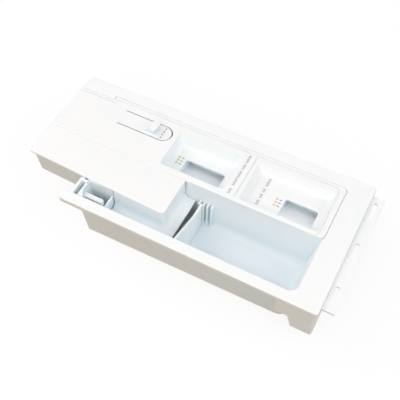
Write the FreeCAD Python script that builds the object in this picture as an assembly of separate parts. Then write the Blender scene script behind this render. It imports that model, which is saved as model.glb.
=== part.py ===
import FreeCAD, Part
import math
import os

# Detergent dispenser drawer of a front-loading washing machine, in millimetres.
# While it is drawn, X runs from the rear end to the front, Y from the near rim to the
# far rim, and Z = 0 is the top of the deck. The finished pieces are moved so that the
# origin lies under the middle of the drawer, on the surface that it stands on.

# Deck and rims
DECK_LENGTH = 320.0
DECK_WIDTH = 149.0
DECK_THICKNESS = 2.2
EDGE_ROUND = 1.0
LIP_HEIGHT = 5.5
LIP_THICKNESS = 2.2
NEAR_RIM_WIDTH = 11.0
NEAR_RIM_START = 56.0
NEAR_RIM_END_RADIUS = 5.0
NEAR_RIM_BACK_RADIUS = 1.5
FAR_RIM_WIDTH = 13.0
FAR_RIM_STEP = 5.0
FAR_RIM_STEP_END = 39.0
FRONT_DECK = 24.0
DECK_CORNER_RADIUS = 3.0
SHOULDER_LENGTH = 38.5
SHOULDER_STEP = 1.3

# Compartments under the deck
WALL = 2.0
BAY_DEPTH = 56.8
FLOOR_RISE = 5.2
BAY_WIDTH = 62.0
BAY_REAR = 73.0
BAY_FRONT_SETBACK = 1.0
BAY_RADIUS = 9.0
BLOCK_RADIUS = 1.5
SIDE_DRAFT = 2.5
REAR_SLOPE = 4.5
FRONT_SLOPE = 9.0
CELL_FAR_LEDGE = 2.0
REAR_DEPTH = 31.0
REAR_SETBACK = 3.0
REAR_NEAR_SETBACK = 3.5

# Front skirt and the flange that carries the drawer front
SKIRT_DEPTH = 43.4
SKIRT_SIDE_DEPTH = 27.5
SKIRT_RETURN = 20.0
SKIRT_SLANT = 4.5
SKIRT_INSET = 1.6
SKIRT_RADIUS = 2.5
WEB_DEPTH = 18.0
WEB_COUNT = 3
FLANGE_REACH = 12.0
FLANGE_DROP = 3.0
FLANGE_END_GAP = 9.0
SLOT_LENGTH = 20.0
SLOT_WIDTH = 3.6
SLOT_SETBACK = 3.5
SLOT_PITCH = 49.5
SLOT_COUNT = 3

# Outlet well at the rear of the wash compartment
BRIDGE_X = 64.5
BRIDGE_WALL = 2.8
BRIDGE_DEPTH = 12.0
BRIDGE_EDGE_GAP = 2.5
OUTLET_END = 98.5
OUTLET_WALL_DEPTH = 40.0
PARTITION_DROP = 12.0
WEIR_SETBACK = 1.2
WEIR_LENGTH = 20.6
WEIR_OFFSET = 4.5
WEIR_THICKNESS = 4.7
WEIR_TOP_DROP = 6.0
OUTLET_LENGTH = 11.0

# Separator plate and its guide ribs
SEPARATOR_SETBACK = 7.8
SEPARATOR_THICKNESS = 2.0
SEPARATOR_TOP_DROP = 21.5
SEPARATOR_NEAR_RISE = 13.0
SEPARATOR_KINK = 40.0
SEPARATOR_CORNER = 9.5
GUIDE_PITCH = 8.9
GUIDE_RIB = 1.8
GUIDE_REACH = 5.5
GUIDE_TOP_DROP = 21.0
RUNNING_GAP = 0.3

# Channel cover, the raised lid over the rear of the wash compartment
CHANNEL_LENGTH = 155.0
CHANNEL_EDGE_REAR = 34.0
CHANNEL_EDGE_FRONT = 28.8
CHANNEL_SHELF_DROP = 26.0
CHANNEL_SHELF_FRONT = 11.5
CHANNEL_CORNER_RADIUS = 4.0
CHANNEL_FILLET = 6.0
CHANNEL_LEDGE = 3.0

# Siphon cover, with its two filling wells
FIT_GAP = 0.3
COVER_CORNER_RADIUS = 5.0
BORDER_FAR = 3.5
BORDER_FRONT = 5.5
BORDER_CROSS = 4.0
GROOVE_WIDTH = 1.0
GROOVE_DEPTH = 0.8
WELL_FAR = 11.0
WELL_FRONT = 7.5
WELL_SPACING = 17.5
SOFTENER_WELL_LENGTH = 80.0
SOFTENER_WELL_DEPTH = 7.0
SOFTENER_WELL_SLOPE = 4.5
SOFTENER_WELL_END_SLOPE = 5.0
SOFTENER_WELL_NEAR = 4.5
BLEACH_WELL_LENGTH = 69.0
BLEACH_WELL_DEPTH = 13.0
BLEACH_WELL_SLOPE = 6.5
BLEACH_WELL_END_SLOPE = 5.0
BLEACH_WELL_NEAR = 6.5
BLEACH_WELL_RADIUS = 5.0
SOFTENER_WELL_RADIUS = 3.5
BLEACH_PORT_LENGTH = 42.8
BLEACH_PORT_SETBACK = 17.2
SOFTENER_PORT_LENGTH = 33.4
SOFTENER_PORT_SETBACK = 38.7
PORT_WIDTH = 21.5
PORT_NEAR_LAND = 2.0
PORT_RADIUS = 2.5
CHUTE_SLOPE = 0.5
CHUTE_REACH = 6.5
CHUTE_OUTLET = 10.0
CHUTE_WALL = 1.6

# Siphon bells under the cover and the standpipes in the tray
PIPE_BORE_RADIUS = 2.75
PIPE_RADIUS = 4.0
PIPE_TOP_DROP = 18.0
BELL_CLEARANCE = 1.5
BELL_WALL = 1.6
BELL_FLOOR_GAP = 4.0
BLEACH_SIPHON_X = 97.0
BLEACH_SIPHON_OFFSET = 17.0
SOFTENER_SIPHON_SETBACK = 13.0
SOFTENER_SIPHON_OFFSET = 36.0

# Release tongue
TONGUE_ROOT = 58.0
TONGUE_LENGTH = 57.4
TONGUE_WIDTH = 17.4
TONGUE_OFFSET = 32.4
TONGUE_SLOT = 1.2
TONGUE_ROOM = 4.0
HOOK_SETBACK = 14.6
HOOK_LENGTH = 15.0
HOOK_TOP = 7.0
HOOK_UNDERCUT = 2.6
HOOK_WIDTH = 11.6
HOOK_HEIGHT = 5.6

# Places that follow from the sizes above
COVER_END = DECK_LENGTH - FRONT_DECK
COVER_FAR = DECK_WIDTH - FAR_RIM_WIDTH
BAY_NEAR = NEAR_RIM_WIDTH
BAY_FAR = BAY_NEAR + BAY_WIDTH
BAY_FRONT = COVER_END - BAY_FRONT_SETBACK
COVER_NEAR = BAY_FAR
BLOCK_FRONT = BAY_FRONT + WALL
BLOCK_REAR = BAY_REAR - WALL
BLOCK_NEAR = BAY_NEAR - WALL
CELL_NEAR = BAY_FAR + WALL
CELL_FAR = COVER_FAR - CELL_FAR_LEDGE
BLOCK_FAR = CELL_FAR + WALL
CELL_FRONT = BAY_FRONT - BAY_FRONT_SETBACK
BASE_Z = -BAY_DEPTH - WALL
SOFTENER_WELL_END = COVER_END - WELL_FRONT
SOFTENER_WELL_START = SOFTENER_WELL_END - SOFTENER_WELL_LENGTH
BLEACH_WELL_END = SOFTENER_WELL_START - WELL_SPACING
BLEACH_WELL_START = BLEACH_WELL_END - BLEACH_WELL_LENGTH
CELL_DIVIDER = SOFTENER_WELL_START - WELL_SPACING / 2
TONGUE_NEAR = COVER_NEAR + TONGUE_OFFSET
FLANGE_TIP = DECK_LENGTH + FLANGE_REACH
SEPARATOR_X = CHANNEL_LENGTH + CHANNEL_SHELF_FRONT + SEPARATOR_SETBACK

# Reach of a cutter past what it cuts, and the distance within which two places count as one
OVERLAP = 1.0
SLACK = 0.001


def outline(corners, z):
    """Closed wire at height z through (x, y, radius) corners, each rounded to its radius."""
    ends = []
    for i, (x, y, radius) in enumerate(corners):
        here = FreeCAD.Vector(x, y, z)
        before = FreeCAD.Vector(*corners[i - 1][:2], z) - here
        after = FreeCAD.Vector(*corners[(i + 1) % len(corners)][:2], z) - here
        before.normalize()
        after.normalize()
        half = before.getAngle(after) / 2
        reach = radius / math.tan(half)
        bisector = before + after
        bisector.normalize()
        middle = here + bisector * (radius / math.sin(half) - radius)
        ends.append((here + before * reach, middle, here + after * reach, radius))
    edges = []
    for i, (start, middle, end, radius) in enumerate(ends):
        if radius > 0:
            edges.append(Part.Arc(start, middle, end).toShape())
        edges.append(Part.LineSegment(end, ends[(i + 1) % len(ends)][0]).toShape())
    return Part.Wire(edges)


def prism(corners, z_low, z_high):
    """Upright solid between two heights."""
    return Part.Face(outline(corners, z_low)).extrude(FreeCAD.Vector(0, 0, z_high - z_low))


def rectangle(x0, y0, x1, y1):
    return [(x0, y0), (x1, y0), (x1, y1), (x0, y1)]


def flat_face(points):
    return Part.Face(Part.makePolygon(points + points[:1]))


def block(x0, y0, z0, x1, y1, z1):
    return Part.makeBox(x1 - x0, y1 - y0, z1 - z0, FreeCAD.Vector(x0, y0, z0))


def tapered(top, z_top, bottom):
    """Drafted solid with flat sides from (x, y) corners at its top to (x, y, z) corners at its bottom."""
    upper = [FreeCAD.Vector(x, y, z_top) for x, y in top]
    lower = [FreeCAD.Vector(*corner) for corner in bottom]
    faces = [flat_face(upper), flat_face(lower[::-1])]
    for i in range(len(top)):
        j = (i + 1) % len(top)
        faces.append(flat_face([lower[i], lower[j], upper[j], upper[i]]))
    return Part.Solid(Part.Shell(faces))


def edges_below(solid, z):
    return [e for e in solid.Edges if e.BoundBox.ZMin < z - SLACK]


def side_profile(points, x0, x1):
    """Solid of a (y, z) profile that runs along X."""
    corners = [FreeCAD.Vector(x0, y, z) for y, z in points]
    return Part.Face(Part.makePolygon(corners + corners[:1])).extrude(FreeCAD.Vector(x1 - x0, 0, 0))


def length_profile(points, y0, y1):
    """Solid of an (x, z) profile that runs along Y."""
    corners = [FreeCAD.Vector(x, y0, z) for x, z in points]
    return Part.Face(Part.makePolygon(corners + corners[:1])).extrude(FreeCAD.Vector(0, y1 - y0, 0))


def post(x, y, radius, z_low, z_high):
    return Part.makeCylinder(radius, z_high - z_low, FreeCAD.Vector(x, y, z_low))


def joined(solid, others):
    return solid.fuse(others).removeSplitter()


def floor_z(x):
    """Height of the compartments' floor, which falls towards the outlet at the rear."""
    return -BAY_DEPTH + FLOOR_RISE * (x - BAY_REAR) / (BAY_FRONT - BAY_REAR)


def bay_wall_near(z):
    """Y of the wash compartment's near wall at a height."""
    return BAY_NEAR - z / BAY_DEPTH * SIDE_DRAFT


def bay_wall_far(z):
    """Y of the wash compartment's far wall at a height."""
    return BAY_FAR + z / BAY_DEPTH * SIDE_DRAFT


def channel_edge(x):
    """Y of the channel cover's near edge, which closes in towards the front."""
    return CHANNEL_EDGE_REAR + (CHANNEL_EDGE_FRONT - CHANNEL_EDGE_REAR) * x / CHANNEL_LENGTH


def cover_outline(far_inset, front_inset):
    """Siphon cover seen from above, with its far and front edges drawn in."""
    far = COVER_FAR - far_inset
    front = COVER_END - front_inset
    step_end = FAR_RIM_STEP_END + far_inset
    return [
        (0, COVER_NEAR, 0),
        (front, COVER_NEAR, COVER_CORNER_RADIUS),
        (front, far, COVER_CORNER_RADIUS),
        (step_end, far, 0),
        (step_end, far - FAR_RIM_STEP, 0),
        (0, far - FAR_RIM_STEP, 0),
    ]


def border_grooves():
    """Cutters of the line along the siphon cover's far and front edges, and of the line between its wells."""
    outer = cover_outline(BORDER_FAR, BORDER_FRONT)
    inner = cover_outline(BORDER_FAR + GROOVE_WIDTH, BORDER_FRONT + GROOVE_WIDTH)
    edge = prism(outer, -GROOVE_DEPTH, OVERLAP).cut(prism(inner, -GROOVE_DEPTH - OVERLAP, 2 * OVERLAP))
    x = SOFTENER_WELL_START - BORDER_CROSS
    cross = block(x - GROOVE_WIDTH, COVER_NEAR + SOFTENER_WELL_NEAR, -GROOVE_DEPTH, x,
                  COVER_FAR - BORDER_FAR - GROOVE_WIDTH / 2, OVERLAP)
    return [edge, cross]


def deck_outline():
    """Deck seen from above: near rim, front deck and far rim in one sheet."""
    shoulder = DECK_LENGTH - SHOULDER_LENGTH
    far = DECK_WIDTH + SHOULDER_STEP
    step = COVER_FAR - FAR_RIM_STEP
    return [
        (NEAR_RIM_START, 0, NEAR_RIM_END_RADIUS),
        (DECK_LENGTH, 0, DECK_CORNER_RADIUS),
        (DECK_LENGTH, far, DECK_CORNER_RADIUS),
        (shoulder, far, 0),
        (shoulder, DECK_WIDTH, 0),
        (0, DECK_WIDTH, DECK_CORNER_RADIUS),
        (0, step + FIT_GAP, 0),
        (FAR_RIM_STEP_END - FIT_GAP, step + FIT_GAP, 0),
        (FAR_RIM_STEP_END - FIT_GAP, COVER_FAR + FIT_GAP, 0),
        (COVER_END + FIT_GAP, COVER_FAR + FIT_GAP, COVER_CORNER_RADIUS),
        (COVER_END + FIT_GAP, COVER_NEAR - FIT_GAP, 0),
        (BAY_FRONT, COVER_NEAR - FIT_GAP, 0),
        (BAY_FRONT, BAY_NEAR, BAY_RADIUS),
        (NEAR_RIM_START, BAY_NEAR, NEAR_RIM_BACK_RADIUS),
    ]


def deck():
    """Deck sheet with rounded top edges, and the turned-down lips of its two rims."""
    sheet = prism(deck_outline(), -DECK_THICKNESS, 0)
    top = [e for e in sheet.Edges if abs(e.BoundBox.ZMin) < SLACK and abs(e.BoundBox.ZMax) < SLACK]
    sheet = sheet.makeFillet(EDGE_ROUND, top)
    shoulder = DECK_LENGTH - SHOULDER_LENGTH
    under = -DECK_THICKNESS
    near_lip = prism([
        (NEAR_RIM_START, 0, NEAR_RIM_END_RADIUS),
        (DECK_LENGTH, 0, DECK_CORNER_RADIUS),
        (DECK_LENGTH, LIP_THICKNESS + OVERLAP, 0),
        (DECK_LENGTH - LIP_THICKNESS, LIP_THICKNESS + OVERLAP, 0),
        (DECK_LENGTH - LIP_THICKNESS, LIP_THICKNESS, 0),
        (NEAR_RIM_START + LIP_THICKNESS, LIP_THICKNESS, 0),
        (NEAR_RIM_START + LIP_THICKNESS, NEAR_RIM_WIDTH - NEAR_RIM_END_RADIUS, 0),
        (NEAR_RIM_START, NEAR_RIM_WIDTH - NEAR_RIM_END_RADIUS, 0),
    ], -LIP_HEIGHT, under)
    far_lip = block(LIP_THICKNESS, DECK_WIDTH - LIP_THICKNESS, -LIP_HEIGHT, DECK_LENGTH - DECK_CORNER_RADIUS,
                    DECK_WIDTH, under)
    shoulder_lip = block(shoulder, DECK_WIDTH - LIP_THICKNESS, -LIP_HEIGHT, DECK_LENGTH - DECK_CORNER_RADIUS,
                         DECK_WIDTH + SHOULDER_STEP, under)
    return joined(sheet, [near_lip, far_lip, shoulder_lip])


def cover_ledge():
    """Step below the deck on which the far and front edges of the siphon cover lie."""
    z_low = -2 * DECK_THICKNESS
    z_high = -DECK_THICKNESS
    reach = WALL + FIT_GAP
    far = block(0, CELL_FAR - FAR_RIM_STEP, z_low, FAR_RIM_STEP_END + reach, COVER_FAR + reach, z_high)
    long_far = block(FAR_RIM_STEP_END, CELL_FAR, z_low, COVER_END + reach, COVER_FAR + reach, z_high)
    front = block(CELL_FRONT, CELL_NEAR, z_low, COVER_END + reach, COVER_FAR + reach, z_high)
    return far.fuse([long_far, front])


def compartment(x0, x1, y0, y1, z_top, rear_slope, front_slope, floor_thickness=0.0):
    """Drafted form of a compartment, inside or outside, on the sloping floor."""
    rear = x0 + rear_slope
    front = x1 - front_slope
    feet = []
    for x, y, inwards in ((rear, y0, 1), (front, y0, 1), (front, y1, -1), (rear, y1, -1)):
        z = floor_z(x) - floor_thickness
        feet.append((x, y + inwards * SIDE_DRAFT * (z_top - z) / BAY_DEPTH, z))
    return tapered(rectangle(x0, y0, x1, y1), z_top, feet)


def wash_hollow():
    """Inside of the wash compartment, rounded but for its sharp corner at the front beside the cover."""
    inside = compartment(BAY_REAR, BAY_FRONT, BAY_NEAR, BAY_FAR, 0, REAR_SLOPE, FRONT_SLOPE)
    middle = (BAY_NEAR + BAY_FAR) / 2
    sharp = max(inside.Edges, key=lambda e: e.BoundBox.XMin if e.BoundBox.YMin > middle else 0)
    return inside.makeFillet(BAY_RADIUS, [e for e in edges_below(inside, 0) if not e.isSame(sharp)])


def main_block():
    """Outer form of the wash compartment and the two siphon cells, most rounded at its front foot."""
    top = -DECK_THICKNESS
    body = compartment(BLOCK_REAR, BLOCK_FRONT, BLOCK_NEAR, BLOCK_FAR, top, REAR_SLOPE, FRONT_SLOPE, WALL)
    across = [e for e in edges_below(body, top) if e.BoundBox.YLength > BAY_WIDTH]
    front_foot = max(across, key=lambda e: e.BoundBox.XMax)
    body = body.makeFillet(BAY_RADIUS + WALL, [front_foot])
    half = BAY_FRONT / 2
    rest = [e for e in edges_below(body, top) if e.BoundBox.YLength < BAY_WIDTH or e.BoundBox.XMax < half]
    return body.makeFillet(BLOCK_RADIUS, sorted(rest, key=lambda e: e.Length))


def rear_section(x0, x1, near, far, depth):
    """Drafted form of the shallow rear section, outside or inside."""
    low_x0 = x0 + WALL
    low_x1 = x1 + REAR_SLOPE * depth / BAY_DEPTH
    low_near = near + WALL
    top = [(x0, channel_edge(x0) + near), (x1, channel_edge(x1) + near), (x1, far), (x0, far)]
    bottom = [
        (low_x0, channel_edge(low_x0) + low_near, -depth),
        (low_x1, channel_edge(low_x1) + low_near, -depth),
        (low_x1, far - WALL, -depth),
        (low_x0, far - WALL, -depth),
    ]
    return tapered(top, -DECK_THICKNESS, bottom)


def skirt():
    """Front wall with its side plates, which are deepest at the corners, and webs to the compartments."""
    x0 = DECK_LENGTH - SHOULDER_LENGTH
    x1 = DECK_LENGTH - EDGE_ROUND
    deep = x1 - SKIRT_RETURN
    y0 = SKIRT_INSET
    y1 = DECK_WIDTH + SHOULDER_STEP - SKIRT_INSET
    outer = [(x0, y0, 0), (x1, y0, SKIRT_RADIUS), (x1, y1, SKIRT_RADIUS), (x0, y1, 0)]
    inner = [
        (x0 - WALL, y0 + WALL, 0),
        (x1 - WALL, y0 + WALL, SKIRT_RADIUS - WALL),
        (x1 - WALL, y1 - WALL, SKIRT_RADIUS - WALL),
        (x0 - WALL, y1 - WALL, 0),
    ]
    top = -DECK_THICKNESS
    sides = length_profile([
        (x0, top),
        (x0, -SKIRT_SIDE_DEPTH),
        (deep - SKIRT_SLANT, -SKIRT_SIDE_DEPTH),
        (deep, -SKIRT_DEPTH),
        (x1, -SKIRT_DEPTH),
        (x1, top),
    ], y0, y1)
    hollow = prism(inner, -SKIRT_DEPTH - OVERLAP, top + OVERLAP)
    wall = prism(outer, -SKIRT_DEPTH, top).cut(hollow).common(sides)
    webs = []
    for i in range(WEB_COUNT):
        y = DECK_WIDTH * (i + 1) / (WEB_COUNT + 1) - WALL / 2
        webs.append(block(BLOCK_FRONT - FRONT_SLOPE / 2, y, -WEB_DEPTH, x1 - WALL / 2, y + WALL, top))
    return wall.fuse(webs)


def long_hole(x, y, z_low, z_high):
    """Cutter of a slot with round ends that runs along Y."""
    radius = SLOT_WIDTH / 2
    reach = SLOT_LENGTH / 2 - radius
    middle = block(x - radius, y - reach, z_low, x + radius, y + reach, z_high)
    return joined(middle, [post(x, y + side * reach, radius, z_low, z_high) for side in (-1, 1)])


def flange():
    """Lower lip at the front with the slots that take the hooks of the drawer front."""
    y0 = FLANGE_END_GAP
    y1 = DECK_WIDTH + SHOULDER_STEP - FLANGE_END_GAP
    z_low = -FLANGE_DROP - DECK_THICKNESS
    corners = [
        (DECK_LENGTH - WALL, y0, 0),
        (FLANGE_TIP, y0, EDGE_ROUND),
        (FLANGE_TIP, y1, EDGE_ROUND),
        (DECK_LENGTH - WALL, y1, 0),
    ]
    plate = prism(corners, z_low, -FLANGE_DROP)
    slots = []
    for i in range(SLOT_COUNT):
        y = (y0 + y1) / 2 + (i - (SLOT_COUNT - 1) / 2) * SLOT_PITCH
        slots.append(long_hole(DECK_LENGTH + SLOT_SETBACK + SLOT_WIDTH / 2, y, z_low - OVERLAP, 0))
    return plate.cut(slots)


def bridge():
    """Bar that ties the rear end of the near rim to the rear section."""
    x1 = BRIDGE_X + BRIDGE_WALL
    edge = channel_edge(BRIDGE_X) - BRIDGE_EDGE_GAP
    inside = BLOCK_NEAR + WALL / 2
    wall_y = channel_edge(BRIDGE_X) + REAR_NEAR_SETBACK + WALL
    return [
        block(BRIDGE_X, inside, -BRIDGE_DEPTH, x1, edge, 0),
        block(BRIDGE_X, inside, -BRIDGE_DEPTH, x1, wall_y, -DECK_THICKNESS),
        block(BRIDGE_X, edge - BRIDGE_WALL, -BRIDGE_DEPTH, BAY_REAR, edge, 0),
    ]


def outlet_walls():
    """Back wall, partition and weir of the outlet well."""
    behind = channel_edge(OUTLET_END) + WALL
    weir_x = BAY_REAR + WEIR_SETBACK
    weir_y = BAY_NEAR + WEIR_OFFSET
    return [
        block(BLOCK_REAR, behind - WALL, -OUTLET_WALL_DEPTH, OUTLET_END, behind, -DECK_THICKNESS),
        block(OUTLET_END - WALL, BLOCK_NEAR, -OUTLET_WALL_DEPTH, OUTLET_END, behind, -PARTITION_DROP),
        block(weir_x, weir_y, BASE_Z, weir_x + WEIR_LENGTH, weir_y + WEIR_THICKNESS, -WEIR_TOP_DROP),
    ]


def guide_ribs():
    """Two pairs of upright ribs on each side wall, which hold the separator plate."""
    slot = SEPARATOR_THICKNESS + 2 * RUNNING_GAP
    near_top = -GUIDE_TOP_DROP + SEPARATOR_NEAR_RISE / 2
    ribs = []
    for pair in range(2):
        for side in (-1, 1):
            x = SEPARATOR_X + pair * GUIDE_PITCH + side * (slot + GUIDE_RIB) / 2
            x0 = x - GUIDE_RIB / 2
            x1 = x + GUIDE_RIB / 2
            ribs.append(block(x0, BAY_FAR - GUIDE_REACH, BASE_Z, x1, BAY_FAR, -GUIDE_TOP_DROP))
            ribs.append(block(x0, BAY_NEAR, BASE_Z, x1, BAY_NEAR + GUIDE_REACH, near_top))
    return ribs


def siphon_places():
    """Centre of each siphon, rear one first."""
    bleach = (BLEACH_SIPHON_X, CELL_NEAR + BLEACH_SIPHON_OFFSET)
    softener = (SOFTENER_WELL_START + SOFTENER_SIPHON_SETBACK, CELL_NEAR + SOFTENER_SIPHON_OFFSET)
    return bleach, softener


def drawer_tray():
    """Tray in one moulding: deck, compartments, rear section, skirt and front flange."""
    body = main_block()
    shell = body.fuse([
        rear_section(REAR_SETBACK, BLOCK_REAR + WALL, REAR_NEAR_SETBACK, BLOCK_FAR, REAR_DEPTH + WALL),
        deck(),
        skirt(),
    ])
    shell = shell.cut([
        wash_hollow(),
        compartment(BAY_REAR, CELL_DIVIDER - WALL / 2, CELL_NEAR, CELL_FAR, 0, REAR_SLOPE, 0),
        compartment(CELL_DIVIDER + WALL / 2, CELL_FRONT, CELL_NEAR, CELL_FAR, 0, 0, FRONT_SLOPE),
        rear_section(REAR_SETBACK + WALL, BLOCK_REAR, REAR_NEAR_SETBACK + WALL, CELL_FAR, REAR_DEPTH),
    ])
    pipes = [post(x, y, PIPE_RADIUS, BASE_Z, -PIPE_TOP_DROP) for x, y in siphon_places()]
    inner = [wall.common(body) for wall in outlet_walls() + guide_ribs() + pipes]
    channel_ledge = block(OUTLET_END, BAY_FAR - CHANNEL_LEDGE, -DECK_THICKNESS - WALL,
                          CHANNEL_LENGTH - 2 * WALL, BAY_FAR + WALL / 2, -DECK_THICKNESS)
    tray = shell.fuse([cover_ledge(), flange(), channel_ledge] + bridge() + inner)
    bores = [post(x, y, PIPE_BORE_RADIUS, BASE_Z - OVERLAP, 0) for x, y in siphon_places()]
    outlet_x = OUTLET_END - WALL - OUTLET_LENGTH
    outlet_y = BAY_NEAR + WEIR_OFFSET + WEIR_THICKNESS
    outlet = block(outlet_x, outlet_y, BASE_Z - OVERLAP, OUTLET_END - WALL, CHANNEL_EDGE_FRONT,
                   -BAY_DEPTH + OVERLAP)
    tongue_room = block(TONGUE_ROOT, TONGUE_NEAR - TONGUE_SLOT, -DECK_THICKNESS - TONGUE_ROOM,
                        TONGUE_ROOT + TONGUE_LENGTH, TONGUE_NEAR + TONGUE_WIDTH + TONGUE_SLOT, 0)
    return tray.cut(bores + [outlet, tongue_room]).removeSplitter()


def channel_cover():
    """Lid over the rear of the wash compartment: a flat top that steps down to a low shelf."""
    start = OUTLET_END + WALL / 2
    far = BAY_FAR - FIT_GAP
    shelf_z = -CHANNEL_SHELF_DROP
    wall_far = bay_wall_far(shelf_z) - FIT_GAP
    shelf_near = bay_wall_near(shelf_z) + FIT_GAP
    front = CHANNEL_LENGTH
    raised = prism([
        (start, channel_edge(start), 0),
        (front, CHANNEL_EDGE_FRONT, CHANNEL_CORNER_RADIUS),
        (front, wall_far, 0),
        (start, wall_far, 0),
    ], shelf_z, -DECK_THICKNESS / 2)
    shelf = prism([
        (start, shelf_near, 0),
        (front + CHANNEL_SHELF_FRONT, shelf_near, 0),
        (front + CHANNEL_SHELF_FRONT, wall_far, 0),
        (start, wall_far, 0),
    ], shelf_z, shelf_z + WALL)
    step = raised.fuse(shelf).removeSplitter()
    foot = [e for e in step.Edges if is_channel_foot(e, start, shelf_z + WALL)]
    step = step.makeFillet(CHANNEL_FILLET, foot)
    plate = prism([
        (0, CHANNEL_EDGE_REAR, DECK_CORNER_RADIUS),
        (front, CHANNEL_EDGE_FRONT, CHANNEL_CORNER_RADIUS),
        (front, far, 0),
        (0, far, 0),
    ], -DECK_THICKNESS, 0)
    top = [e for e in plate.Edges if abs(e.BoundBox.ZMin) < SLACK and e.BoundBox.YMin < far - SLACK]
    plate = plate.makeFillet(EDGE_ROUND, top)
    hollow = prism([
        (start - OVERLAP, channel_edge(start) + WALL, 0),
        (front - WALL, CHANNEL_EDGE_FRONT + WALL, CHANNEL_CORNER_RADIUS - WALL),
        (front - WALL, wall_far + OVERLAP, 0),
        (start - OVERLAP, wall_far + OVERLAP, 0),
    ], shelf_z - OVERLAP, -DECK_THICKNESS)
    return plate.fuse(step.cut(hollow)).removeSplitter()


def is_channel_foot(edge, start, z):
    """True for an edge where the channel cover's raised wall meets its shelf."""
    box = edge.BoundBox
    level = abs(box.ZMin - z) < SLACK and abs(box.ZMax - z) < SLACK
    on_wall = box.YMin > CHANNEL_EDGE_FRONT - SLACK and box.XMax < CHANNEL_LENGTH + SLACK
    return level and on_wall and box.XMax > start + SLACK and box.YMax - box.YMin < BAY_WIDTH


def well(x0, x1, y0, y1, depth, side_slope, end_slope, grow=0.0):
    """Sloped filling well; grow offsets its faces outwards for the underside of its shell."""
    top = rectangle(x0 - grow, y0 - grow, x1 + grow, y1 + grow)
    bottom = rectangle(x0 + end_slope - grow, y0 + WALL - grow, x1 - end_slope + grow, y1 - side_slope + grow)
    return tapered(top, 0, [(x, y, -depth - grow) for x, y in bottom])


def chute(x0, y0, length, floor):
    """Scoop below a filling port: its shell, and the hollows of the port, the closed end and the outlet."""
    x1 = x0 + length
    y1 = y0 + PORT_WIDTH
    y2 = y1 + CHUTE_REACH
    under = floor - WALL
    low = floor - CHUTE_SLOPE * (y2 - y0)
    shell = side_profile([
        (y0, under + WALL / 2),
        (y2 + CHUTE_WALL, under + WALL / 2),
        (y2 + CHUTE_WALL, low - CHUTE_WALL),
        (y0, under),
    ], x0 - CHUTE_WALL, x1 + CHUTE_WALL)
    outside = x1 + CHUTE_WALL + OVERLAP
    above_ramp = side_profile([(y0, floor), (y0, OVERLAP), (y2, OVERLAP), (y2, low)], x0, outside)
    corners = [(x0, y0, 0), (x1, y0, 0), (x1, y1, PORT_RADIUS), (x0, y1, PORT_RADIUS)]
    port = prism(corners, low, floor + OVERLAP)
    closed_end = block(x0, y1 - PORT_RADIUS, low, x1, y2, under)
    outlet = block(x1 - OVERLAP, y2 - CHUTE_OUTLET, low, outside, y2, under)
    return shell, [cutter.common(above_ramp) for cutter in (port, closed_end, outlet)]


def tongue_outline(slot):
    """Release tongue seen from above, widened by a slot on its three free sides."""
    y0 = TONGUE_NEAR - slot
    y1 = TONGUE_NEAR + TONGUE_WIDTH + slot
    x1 = TONGUE_ROOT + TONGUE_LENGTH + slot
    radius = (y1 - y0) / 2 - FIT_GAP / 2
    return [(TONGUE_ROOT, y0, 0), (x1, y0, radius), (x1, y1, radius), (TONGUE_ROOT, y1, 0)]


def siphon_cover():
    """Insert over the siphon cells: grooved plate, two wells with ports, and siphon bells."""
    plate = prism(cover_outline(0, 0), -DECK_THICKNESS, 0)
    plate = plate.makeFillet(EDGE_ROUND, [e for e in plate.Edges if e.BoundBox.ZMin > -SLACK])
    bleach = (BLEACH_WELL_START, BLEACH_WELL_END, COVER_NEAR + BLEACH_WELL_NEAR, COVER_FAR - WELL_FAR,
              BLEACH_WELL_DEPTH, BLEACH_WELL_SLOPE, BLEACH_WELL_END_SLOPE)
    softener = (SOFTENER_WELL_START, SOFTENER_WELL_END, COVER_NEAR + SOFTENER_WELL_NEAR, COVER_FAR - WELL_FAR,
                SOFTENER_WELL_DEPTH, SOFTENER_WELL_SLOPE, SOFTENER_WELL_END_SLOPE)
    below = block(0, 0, BASE_Z, DECK_LENGTH, DECK_WIDTH, -DECK_THICKNESS + OVERLAP)
    shells = [well(*sizes, grow=WALL).common(below) for sizes in (bleach, softener)]
    cutters = border_grooves()
    for sizes, radius in ((bleach, BLEACH_WELL_RADIUS), (softener, SOFTENER_WELL_RADIUS)):
        inside = well(*sizes)
        cutters.append(inside.makeFillet(radius, edges_below(inside, 0)))
    chutes = []
    for sizes, setback, length in (
        (bleach, BLEACH_PORT_SETBACK, BLEACH_PORT_LENGTH),
        (softener, SOFTENER_PORT_SETBACK, SOFTENER_PORT_LENGTH),
    ):
        x0, _, y0, _, depth = sizes[:5]
        shell, hollows = chute(x0 + setback, y0 + WALL + PORT_NEAR_LAND, length, -depth)
        chutes.append(shell)
        cutters.extend(hollows)
    bell_radius = PIPE_RADIUS + BELL_CLEARANCE
    tops = (-DECK_THICKNESS, -SOFTENER_WELL_DEPTH - WALL)
    bells = []
    for (x, y), top in zip(siphon_places(), tops):
        bell_low = floor_z(x) + BELL_FLOOR_GAP
        bells.append(post(x, y, bell_radius + BELL_WALL, bell_low, top + DECK_THICKNESS / 2))
        cutters.append(post(x, y, bell_radius, bell_low - OVERLAP, top))
    cutters.append(prism(tongue_outline(TONGUE_SLOT), -DECK_THICKNESS - OVERLAP, OVERLAP))
    return plate.fuse(shells + chutes + bells).cut(cutters).removeSplitter()


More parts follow.
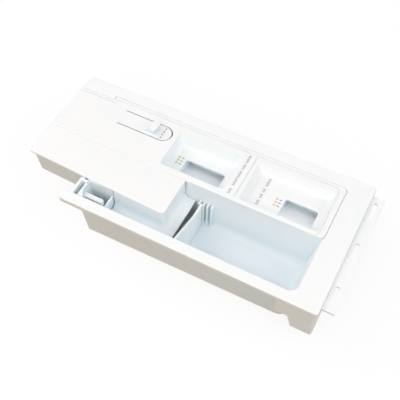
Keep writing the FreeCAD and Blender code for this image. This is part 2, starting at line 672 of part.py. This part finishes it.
def release_tongue():
    """Springy tongue of the siphon cover, with the hook that stops the drawer."""
    blade = prism(tongue_outline(0), -DECK_THICKNESS, 0)
    x1 = TONGUE_ROOT + TONGUE_LENGTH - HOOK_SETBACK
    y0 = TONGUE_NEAR + (TONGUE_WIDTH - HOOK_WIDTH) / 2
    hook = length_profile([
        (x1 - HOOK_LENGTH, -OVERLAP),
        (x1 - HOOK_UNDERCUT, -OVERLAP),
        (x1 - HOOK_UNDERCUT, 0),
        (x1, HOOK_HEIGHT),
        (x1 - HOOK_TOP, HOOK_HEIGHT),
        (x1 - HOOK_LENGTH, 0),
    ], y0, y0 + HOOK_WIDTH)
    return joined(blade, [hook])


def separator():
    """Plate that parts powder from liquid, standing in the guide ribs."""
    x0 = SEPARATOR_X - SEPARATOR_THICKNESS / 2
    foot = floor_z(SEPARATOR_X)
    low = foot + RUNNING_GAP
    high = -SEPARATOR_TOP_DROP
    near = bay_wall_near(foot) + RUNNING_GAP
    far = bay_wall_far(foot) - RUNNING_GAP
    kink = near + SEPARATOR_KINK
    plate = prism([
        (near, low, SEPARATOR_CORNER),
        (far, low, SEPARATOR_CORNER),
        (far, high, WALL),
        (kink, high, 0),
        (near, high + SEPARATOR_NEAR_RISE, WALL),
    ], 0, SEPARATOR_THICKNESS)
    upright = FreeCAD.Matrix(0, 0, 1, x0, 1, 0, 0, 0, 0, 1, 0, 0, 0, 0, 0, 1)
    plate.Placement = FreeCAD.Placement(upright)
    return plate


PIECES = {
    "drawer_tray": drawer_tray,
    "siphon_cover": siphon_cover,
    "release_tongue": release_tongue,
    "channel_cover": channel_cover,
    "separator": separator,
}


def main():
    os.makedirs("parts", exist_ok=True)
    shapes = {name: make() for name, make in PIECES.items()}
    low = shapes["drawer_tray"].optimalBoundingBox().ZMin
    to_base = FreeCAD.Vector(-FLANGE_TIP / 2, -(DECK_WIDTH + SHOULDER_STEP) / 2, -low)
    for name, shape in shapes.items():
        shape.translate(to_base)
        shape.exportStep("parts/" + name + ".step")


main()
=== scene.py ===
import math

import bmesh
import bpy
from bpy.props import FloatProperty, FloatVectorProperty, IntProperty, PointerProperty
from mathutils import Matrix, Vector


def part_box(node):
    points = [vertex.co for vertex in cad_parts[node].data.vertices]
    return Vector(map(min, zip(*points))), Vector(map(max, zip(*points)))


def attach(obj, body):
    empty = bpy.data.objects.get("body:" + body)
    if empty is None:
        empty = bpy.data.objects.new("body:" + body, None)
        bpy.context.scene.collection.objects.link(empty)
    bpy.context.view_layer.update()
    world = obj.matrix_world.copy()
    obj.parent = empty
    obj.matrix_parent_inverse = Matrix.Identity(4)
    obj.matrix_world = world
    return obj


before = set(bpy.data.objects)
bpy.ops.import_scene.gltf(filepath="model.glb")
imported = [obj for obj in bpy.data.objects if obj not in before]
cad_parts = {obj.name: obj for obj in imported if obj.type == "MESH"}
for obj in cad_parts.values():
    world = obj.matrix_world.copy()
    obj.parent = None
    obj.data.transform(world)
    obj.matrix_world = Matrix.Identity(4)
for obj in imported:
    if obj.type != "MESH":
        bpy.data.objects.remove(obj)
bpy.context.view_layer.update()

bl_info = {
    "name": "Detergent Drawer",
    "version": (1, 0, 0),
    "blender": (4, 5, 0),
    "location": "View3D > Sidebar > Drawer",
    "description": "Finishes a moulded detergent drawer and stages it for a product picture",
    "category": "Object",
}

MM = 0.001
COVER_LOW, COVER_HIGH = (Vector(corner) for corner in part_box("siphon_cover"))
TONGUE_LOW, TONGUE_HIGH = (Vector(corner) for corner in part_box("release_tongue"))

# Places on the siphon cover in millimetres, from its low corner at the level of its top
COVER_CORNER = Vector((*COVER_LOW.xy, COVER_HIGH.z))
BLEACH_DEPTH = 13
SOFTENER_DEPTH = 7
BLEACH_STROKES = Vector((197, 5.5, 0))
SOFTENER_STROKES = Vector((224.3, 10.5, -SOFTENER_DEPTH))
BLEACH_SIGN = Vector((133.5, 27.5, -BLEACH_DEPTH))
SOFTENER_SIGN = Vector((242, 22, -SOFTENER_DEPTH))

# Groups of strokes in a row, each from its start to its end along Y in millimetres
BLEACH_SPANS = ((0, 7.1), (10.2, 18.8), (20.3, 29), (31, 38.6), (40.6, 50.8))
SOFTENER_SPANS = ((0, 6.5), (8.6, 13.7), (15.8, 21.3), (23.7, 34.3))

# Lengths of neighbouring strokes as shares of the longest
STROKE_SHARES = (1.0, 0.7, 0.85)

# Bars on the tongue in millimetres, the first one's place from the corner at the tongue's tip
TONGUE_CORNER = Vector((TONGUE_HIGH.x, TONGUE_LOW.y, COVER_HIGH.z))
TONGUE_BARS = 4
TONGUE_BAR_START = Vector((-8.4, 2.9, 0))
TONGUE_BAR_PITCH = 4
TONGUE_BAR_WIDTH = 1.5
TONGUE_BAR_REACH = 2.2

# Places and sizes within a sign, in radii of its dots
SIGN_DOT_SHIFT = -1.8
SIGN_BAR_SHIFT = 1.3
SIGN_BAR_WIDTH = 2.2
SIGN_BAR_REACH = 0.7


def linear(hex_colour):
    """Linear RGB of an sRGB hex colour."""
    channels = [int(hex_colour[i:i + 2], 16) / 255 for i in (0, 2, 4)]
    return tuple(c / 12.92 if c <= 0.04045 else ((c + 0.055) / 1.055) ** 2.4 for c in channels)


def colour(name, description, hex_colour):
    """Colour property with its default written as sRGB hex."""
    return FloatVectorProperty(name=name, description=description, subtype="COLOR", size=3, min=0, max=1,
                               default=linear(hex_colour))


def length(name, description, millimetres):
    """Length property with its default written in millimetres."""
    return FloatProperty(name=name, description=description, unit="LENGTH", subtype="DISTANCE", min=0,
                         default=millimetres * MM)


def angle(name, description, degrees):
    """Angle property with its default written in degrees."""
    return FloatProperty(name=name, description=description, unit="ROTATION", default=math.radians(degrees))


def power(name, description, watts):
    """Lamp power property."""
    return FloatProperty(name=name, description=description, unit="POWER", min=0, default=watts)


class DrawerMouldings(bpy.types.PropertyGroup):
    """Finish of the white mouldings."""
    white: colour("White", "Colour of the white polypropylene", "E3F2F9")
    flow_white: colour("Flow white", "Colour of the faint flow clouds in the mouldings", "DFEFF7")
    # Painted light: the separator plate is painted whiter than the tray to stand in for the light on it
    plate_white_painted_lighter: colour("Plate white", "Colour of the separator plate, painted lighter for the light on it", "F2FAFD")
    cover_white: colour("Cover white", "Colour of the covers, moulded from another batch", "E4F2F8")
    depth: length("Light depth", "How far light runs inside the milky plastic", 2.0)
    grain: length("Mould grain", "Spacing of the fine eroded grain, drawn coarse enough to show", 0.9)
    clouds: length("Flow clouds", "Size of the faint flow clouds", 45.0)


class DrawerMarks(bpy.types.PropertyGroup):
    """Sizes and inks of the plain printed marks."""
    grey: colour("Grey ink", "Ink of the plain strokes", "84959B")
    dark_grey: colour("Dark grey ink", "Ink of the bars in both signs", "66787F")
    green: colour("Green ink", "Ink of the dots in the bleach sign", "ADC59C")
    orange: colour("Orange ink", "Ink of the dots in the softener sign", "D8BBAB")
    film: length("Ink film", "Height of the printed ink over the plastic", 0.06)
    stroke: length("Stroke", "Length of the longest strokes", 3.0)
    stroke_width: length("Stroke width", "Width of a stroke", 0.6)
    stroke_pitch: length("Stroke pitch", "Distance from stroke to stroke", 1.3)
    dot: length("Dot", "Radius of a dot of the signs", 1.3)
    dot_pitch: length("Dot pitch", "Distance from dot to dot", 3.8)
    dots: IntProperty(name="Dots", description="Dots in a sign", default=3, min=1, max=6)


class DrawerStage(bpy.types.PropertyGroup):
    """Floor, light and camera."""
    floor: colour("Floor", "Colour that the floor throws back on to the drawer", "76683A")
    paper: colour("Paper", "Colour of the floor to the eye, cool to stay white in warm light", "F1F7FF")
    sky: colour("Sky", "Colour of the white tent around the drawer", "FFF1F5")
    sky_level: FloatProperty(name="Sky level", description="Strength of the tent", default=0.59, min=0)
    sky_lean: FloatVectorProperty(name="Sky lean", description="Where the tent is brightest",
                                  subtype="DIRECTION", size=3, default=(0.0, -0.6, 0.8))
    sky_edge: FloatProperty(name="Sky edge", description="Where the tent has faded to dark", default=-0.7,
                            min=-1, max=1)
    top_light: colour("Top light", "Colour of the softbox overhead", "FFF2F6")
    top_power: power("Top power", "Power of the softbox overhead", 2.4)
    near_light: colour("Near light", "Colour of the softbox on the near side", "FFE6CB")
    near_power: power("Near power", "Power of the softbox on the near side", 10.5)
    rear_light: colour("Rear light", "Colour of the softbox behind the drawer", "FFEEE5")
    rear_power: power("Rear power", "Power of the softbox behind the drawer", 12.7)
    front_light: colour("Front light", "Colour of the softbox before the drawer", "FFF1E8")
    front_power: power("Front power", "Power of the softbox before the drawer", 10.3)
    far_light: colour("Far light", "Colour of the low softbox on the far side", "FFF1E8")
    far_power: power("Far power", "Power of the low softbox on the far side", 4.0)
    azimuth: angle("Azimuth", "Turn of the camera round the drawer", 27.366)
    pitch: angle("Pitch", "Downward tilt of the camera", 54.905)
    roll: angle("Roll", "Lean of the camera", 0.418)
    place: FloatVectorProperty(name="Place", description="Where the camera stands", subtype="TRANSLATION",
                               unit="LENGTH", size=3, default=(0.18004, -0.34157, 0.58006))
    lens: FloatProperty(name="Lens", description="Focal length on a 36 mm sensor", unit="CAMERA",
                        default=61.25)


def add_node(tree, kind, inputs=None, **settings):
    """Adds a node, applies its settings and sets or links its inputs."""
    node = tree.nodes.new(kind)
    for name, value in settings.items():
        setattr(node, name, value)
    for socket, value in (inputs or {}).items():
        if isinstance(value, bpy.types.NodeSocket):
            tree.links.new(value, node.inputs[socket])
        else:
            node.inputs[socket].default_value = value
    return node


def opaque(rgb):
    """Colour with full alpha for a node socket."""
    return (*rgb, 1.0)


def new_material(name):
    """Empty node material with its output, ready for a surface."""
    material = bpy.data.materials.new(name)
    material.use_nodes = True
    tree = material.node_tree
    tree.nodes.clear()
    output = add_node(tree, "ShaderNodeOutputMaterial")
    return material, tree, output


def moulded_polypropylene(name, settings, white, roughness):
    """Injection-moulded polypropylene: milky and waxy over a fine grain, with faint clouds from the flow."""
    roughness_spread = 0.06
    grain_height = 0.05 * MM
    material, tree, output = new_material(name)
    place = add_node(tree, "ShaderNodeTexCoord").outputs["Object"]
    clouds = add_node(tree, "ShaderNodeTexNoise", {
        "Vector": place,
        "Scale": 1 / settings.clouds,
        "Detail": 2.0,
    })
    tint = add_node(tree, "ShaderNodeMix", {
        "Factor": clouds.outputs["Fac"],
        "A": opaque(white),
        "B": opaque(settings.flow_white),
    }, data_type="RGBA")
    grain = add_node(tree, "ShaderNodeTexNoise", {
        "Vector": place,
        "Scale": 1 / settings.grain,
        "Detail": 3.0,
    })
    gloss = add_node(tree, "ShaderNodeMapRange", {
        "Value": grain.outputs["Fac"],
        "To Min": roughness - roughness_spread,
        "To Max": roughness + roughness_spread,
    })
    relief = add_node(tree, "ShaderNodeBump", {
        "Height": grain.outputs["Fac"],
        "Strength": 0.12,
        "Distance": grain_height,
    })
    surface = add_node(tree, "ShaderNodeBsdfPrincipled", {
        "Base Color": tint.outputs["Result"],
        "Roughness": gloss.outputs["Result"],
        "Normal": relief.outputs["Normal"],
        "IOR": 1.49,
        "Specular IOR Level": 0.4,
        "Subsurface Weight": 0.2,
        "Subsurface Radius": (0.8, 1.1, 1.2),
        "Subsurface Scale": settings.depth,
    })
    tree.links.new(surface.outputs["BSDF"], output.inputs["Surface"])
    return material


def pad_print(name, ink):
    """Pad-printed ink: matt and thin, with tiny pale voids where the film didn't take."""
    # The real voids are finer and are drawn coarse enough to show
    void = 0.6 * MM
    material, tree, output = new_material(name)
    place = add_node(tree, "ShaderNodeTexCoord").outputs["Object"]
    voids = add_node(tree, "ShaderNodeTexNoise", {"Vector": place, "Scale": 1 / void, "Detail": 2.0})
    cover = add_node(tree, "ShaderNodeMapRange", {
        "Value": voids.outputs["Fac"],
        "From Min": 0.3,
        "From Max": 0.5,
    })
    tint = add_node(tree, "ShaderNodeMix", {
        "Factor": cover.outputs["Result"],
        "A": opaque([0.5 * (c + 1) for c in ink]),
        "B": opaque(ink),
    }, data_type="RGBA")
    surface = add_node(tree, "ShaderNodeBsdfPrincipled", {
        "Base Color": tint.outputs["Result"],
        "Roughness": 0.6,
        "IOR": 1.5,
    })
    tree.links.new(surface.outputs["BSDF"], output.inputs["Surface"])
    return material


def dress(node, material):
    """Gives a CAD node its material."""
    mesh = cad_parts[node].data
    mesh.materials.clear()
    mesh.materials.append(material)


def add_disc(bm, radius, middle):
    """Adds a flat disc."""
    bmesh.ops.create_circle(bm, cap_ends=True, segments=24, radius=radius, matrix=Matrix.Translation(middle))


def add_bar(bm, middle, width, reach):
    """Adds a flat bar with rounded corners, its width along X and its reach along Y."""
    corner_share = 0.4
    matrix = Matrix.Translation(middle) @ Matrix.Diagonal((width, reach, 1, 1))
    verts = bmesh.ops.create_grid(bm, x_segments=1, y_segments=1, size=0.5, matrix=matrix)["verts"]
    bmesh.ops.bevel(bm, geom=verts, offset=corner_share * min(width, reach), segments=3, profile=0.5,
                    affect="VERTICES", material=-1)


def print_piece(bm, name, film, material, body):
    """Raises flat printed faces to a thin film and makes them a piece that rides on a body."""
    raised = bmesh.ops.extrude_face_region(bm, geom=bm.faces[:])["geom"]
    top = [v for v in raised if isinstance(v, bmesh.types.BMVert)]
    bmesh.ops.translate(bm, verts=top, vec=(0, 0, film))
    bmesh.ops.recalc_face_normals(bm, faces=bm.faces)
    mesh = bpy.data.meshes.new(name)
    bm.to_mesh(mesh)
    bm.free()
    mesh.materials.append(material)
    piece = bpy.data.objects.new(name, mesh)
    bpy.context.scene.collection.objects.link(piece)
    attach(piece, body)


def print_strokes(name, spans, start, settings, material):
    """Prints groups of plain strokes in a row along Y, beginning at a place on the siphon cover."""
    bm = bmesh.new()
    for first, last in spans:
        count = round((last - first) * MM / settings.stroke_pitch)
        for i in range(count):
            share = STROKE_SHARES[i % len(STROKE_SHARES)]
            drop = (1 - share) / 2 * settings.stroke
            along = first * MM + (i + 0.5) * settings.stroke_pitch
            middle = COVER_CORNER + start * MM + Vector((drop, along, 0))
            add_bar(bm, middle, share * settings.stroke, settings.stroke_width)
    print_piece(bm, name, settings.film, material, "drawer")


def print_tongue_bars(name, settings, material):
    """Prints a row of short bars on the tongue."""
    bm = bmesh.new()
    for i in range(TONGUE_BARS):
        place = TONGUE_BAR_START + Vector((0, i * TONGUE_BAR_PITCH, 0))
        add_bar(bm, TONGUE_CORNER + place * MM, TONGUE_BAR_WIDTH * MM, TONGUE_BAR_REACH * MM)
    print_piece(bm, name, settings.film, material, "tongue")


def print_sign(name, place, settings, dot_ink, bar_ink):
    """Prints a plain row of dots over a row of bars."""
    radius = settings.dot
    middle = COVER_CORNER + place * MM
    dots = bmesh.new()
    bars = bmesh.new()
    for i in range(settings.dots):
        along = (i - (settings.dots - 1) / 2) * settings.dot_pitch
        add_disc(dots, radius, middle + Vector((SIGN_DOT_SHIFT * radius, along, 0)))
        add_bar(bars, middle + Vector((SIGN_BAR_SHIFT * radius, along, 0)), SIGN_BAR_WIDTH * radius,
                SIGN_BAR_REACH * radius)
    print_piece(dots, name, settings.film, dot_ink, "drawer")
    print_piece(bars, name + "_bars", settings.film, bar_ink, "drawer")


def background_rays(tree):
    """1 for rays that see the background: from the camera, or by way of gloss or glass."""
    path = add_node(tree, "ShaderNodeLightPath")
    seen = path.outputs["Is Camera Ray"]
    for ray in ("Is Glossy Ray", "Is Transmission Ray"):
        either = add_node(tree, "ShaderNodeMath", {0: seen, 1: path.outputs[ray]}, operation="MAXIMUM")
        seen = either.outputs[0]
    return seen


def studio_paper(settings):
    """Matt studio paper: white to the eye with a faint shadow, and warm in the light that it throws back."""
    shadow_share = 0.12
    fade_start = 0.25
    fade_end = 0.9
    material, tree, output = new_material("matt studio paper")
    seen = background_rays(tree)
    tint = add_node(tree, "ShaderNodeMix", {
        "Factor": seen,
        "A": opaque(settings.floor),
        "B": opaque(settings.paper),
    }, data_type="RGBA")
    paper = add_node(tree, "ShaderNodeBsdfDiffuse", {"Color": tint.outputs["Result"]})
    white = add_node(tree, "ShaderNodeEmission", {"Color": (1, 1, 1, 1), "Strength": 1.0})
    place = add_node(tree, "ShaderNodeTexCoord").outputs["Object"]
    distance = add_node(tree, "ShaderNodeVectorMath", {0: place}, operation="LENGTH")
    fade = add_node(tree, "ShaderNodeMapRange", {
        "Value": distance.outputs["Value"],
        "From Min": fade_start,
        "From Max": fade_end,
        "To Min": 1 - shadow_share,
    })
    share = add_node(tree, "ShaderNodeMath", {0: seen, 1: fade.outputs["Result"]}, operation="MULTIPLY")
    mixed = add_node(tree, "ShaderNodeMixShader", {
        0: share.outputs[0],
        1: paper.outputs[0],
        2: white.outputs[0],
    })
    tree.links.new(mixed.outputs[0], output.inputs["Surface"])
    return material


def add_floor(scene, settings):
    """Plain pale floor that fades into a white background."""
    half_side = 3.0
    bm = bmesh.new()
    bmesh.ops.create_grid(bm, x_segments=1, y_segments=1, size=half_side)
    mesh = bpy.data.meshes.new("floor")
    bm.to_mesh(mesh)
    bm.free()
    mesh.materials.append(studio_paper(settings))
    floor = bpy.data.objects.new("floor", mesh)
    scene.collection.objects.link(floor)


def add_tent(scene, settings):
    """White tent, dimmest on the far side and plain white to the camera."""
    world = bpy.data.worlds.new("studio")
    world.use_nodes = True
    tree = world.node_tree
    tree.nodes.clear()
    ray = add_node(tree, "ShaderNodeTexCoord").outputs["Generated"]
    lean = add_node(tree, "ShaderNodeVectorMath", {0: ray, 1: settings.sky_lean}, operation="DOT_PRODUCT")
    level = add_node(tree, "ShaderNodeMapRange", {
        "Value": lean.outputs["Value"],
        "From Min": settings.sky_edge,
        "To Max": settings.sky_level,
    })
    tent = add_node(tree, "ShaderNodeBackground", {
        "Color": opaque(settings.sky),
        "Strength": level.outputs["Result"],
    })
    white = add_node(tree, "ShaderNodeBackground", {"Color": (1, 1, 1, 1), "Strength": 1.0})
    camera_ray = add_node(tree, "ShaderNodeLightPath").outputs["Is Camera Ray"]
    mixed = add_node(tree, "ShaderNodeMixShader", {0: camera_ray, 1: tent.outputs[0], 2: white.outputs[0]})
    output = add_node(tree, "ShaderNodeOutputWorld")
    tree.links.new(mixed.outputs[0], output.inputs["Surface"])
    scene.world = world


def add_softbox(scene, name, place, side, light, watts):
    """Square lamp that faces the drawer."""
    lamp = bpy.data.lights.new(name, "AREA")
    lamp.shape = "SQUARE"
    lamp.size = side
    lamp.energy = watts
    lamp.color = light
    softbox = bpy.data.objects.new(name, lamp)
    softbox.location = place
    softbox.rotation_euler = (-softbox.location).to_track_quat("-Z", "Y").to_euler()
    scene.collection.objects.link(softbox)


def add_softboxes(scene, settings):
    """Softboxes overhead and on all four sides, with places and sides in metres."""
    large = 1.4
    middling = 1.2
    small = 0.6
    add_softbox(scene, "top_softbox", (0, -0.15, 1.3), large, settings.top_light, settings.top_power)
    add_softbox(scene, "near_softbox", (0, -1.1, 1.1), middling, settings.near_light, settings.near_power)
    add_softbox(scene, "rear_softbox", (-1.3, 0, 0.9), middling, settings.rear_light, settings.rear_power)
    add_softbox(scene, "front_softbox", (1.3, 0, 0.9), middling, settings.front_light, settings.front_power)
    add_softbox(scene, "far_softbox", (0, 1.3, 0.35), small, settings.far_light, settings.far_power)


def add_camera(scene, settings):
    """Camera at the viewing angle of the picture."""
    data = bpy.data.cameras.new("camera")
    data.sensor_width = 36.0
    data.lens = settings.lens
    camera = bpy.data.objects.new("camera", data)
    turn = Matrix.Rotation(settings.azimuth, 4, "Z")
    tilt = Matrix.Rotation(math.pi / 2 - settings.pitch, 4, "X")
    lean = Matrix.Rotation(settings.roll, 4, "Z")
    camera.matrix_world = Matrix.Translation(settings.place) @ turn @ tilt @ lean
    scene.collection.objects.link(camera)
    scene.camera = camera


class DRAWER_OT_mouldings(bpy.types.Operator):
    """Gives every moulding its polypropylene"""
    bl_idname = "drawer.mouldings"
    bl_label = "Finish Mouldings"

    def execute(self, context):
        settings = context.scene.drawer_mouldings
        # The eroded tool leaves the tray matt, so that lamps show on it only as a broad glow
        tray = moulded_polypropylene("polypropylene, eroded tool", settings, settings.white, roughness=0.46)
        # The polished tool leaves the covers smoother, with a soft shine along their edges
        cover = moulded_polypropylene("polypropylene, polished tool", settings, settings.cover_white,
                                      roughness=0.34)
        # The thin separator plate is painted whiter than the tray: painted light, which stands in for the
        # light that brightens it
        plate = moulded_polypropylene("polypropylene, plate painted lighter", settings, settings.plate_white_painted_lighter,
                                      roughness=0.4)
        dress("drawer_tray", tray)
        dress("separator", plate)
        for node in ("siphon_cover", "release_tongue", "channel_cover"):
            dress(node, cover)
        return {"FINISHED"}


class DRAWER_OT_labels(bpy.types.Operator):
    """Prints plain strokes on the siphon cover and bars on the tongue"""
    bl_idname = "drawer.labels"
    bl_label = "Print Labels"

    def execute(self, context):
        settings = context.scene.drawer_marks
        ink = pad_print("grey pad print", settings.grey)
        print_strokes("bleach_label", BLEACH_SPANS, BLEACH_STROKES, settings, ink)
        print_strokes("softener_label", SOFTENER_SPANS, SOFTENER_STROKES, settings, ink)
        print_tongue_bars("tongue_label", settings, ink)
        return {"FINISHED"}


class DRAWER_OT_signs(bpy.types.Operator):
    """Prints a plain sign beside each port"""
    bl_idname = "drawer.signs"
    bl_label = "Print Signs"

    def execute(self, context):
        settings = context.scene.drawer_marks
        dark_grey = pad_print("dark grey pad print", settings.dark_grey)
        green = pad_print("green pad print", settings.green)
        orange = pad_print("orange pad print", settings.orange)
        print_sign("bleach_sign", BLEACH_SIGN, settings, green, dark_grey)
        print_sign("softener_sign", SOFTENER_SIGN, settings, orange, dark_grey)
        return {"FINISHED"}


class DRAWER_OT_stage(bpy.types.Operator):
    """Adds the floor, the light and the camera"""
    bl_idname = "drawer.stage"
    bl_label = "Add Stage"

    def execute(self, context):
        scene = context.scene
        settings = scene.drawer_stage
        add_floor(scene, settings)
        add_tent(scene, settings)
        add_softboxes(scene, settings)
        add_camera(scene, settings)
        scene.view_settings.view_transform = "Standard"
        return {"FINISHED"}


class DRAWER_PT_panel(bpy.types.Panel):
    """Steps that dress and stage the drawer"""
    bl_idname = "DRAWER_PT_panel"
    bl_label = "Detergent Drawer"
    bl_space_type = "VIEW_3D"
    bl_region_type = "UI"
    bl_category = "Drawer"

    def draw(self, context):
        for operator in OPERATORS:
            self.layout.operator(operator.bl_idname)


GROUPS = {
    "drawer_mouldings": DrawerMouldings,
    "drawer_marks": DrawerMarks,
    "drawer_stage": DrawerStage,
}
OPERATORS = (DRAWER_OT_mouldings, DRAWER_OT_labels, DRAWER_OT_signs, DRAWER_OT_stage)


def register():
    for name, group in GROUPS.items():
        bpy.utils.register_class(group)
        setattr(bpy.types.Scene, name, PointerProperty(type=group))
    for operator in OPERATORS:
        bpy.utils.register_class(operator)
    bpy.utils.register_class(DRAWER_PT_panel)


def unregister():
    bpy.utils.unregister_class(DRAWER_PT_panel)
    for operator in reversed(OPERATORS):
        bpy.utils.unregister_class(operator)
    for name, group in reversed(GROUPS.items()):
        delattr(bpy.types.Scene, name)
        bpy.utils.unregister_class(group)


def main():
    register()
    bpy.ops.drawer.mouldings()
    bpy.ops.drawer.labels()
    bpy.ops.drawer.signs()
    bpy.ops.drawer.stage()


if __name__ == "__main__":
    main()
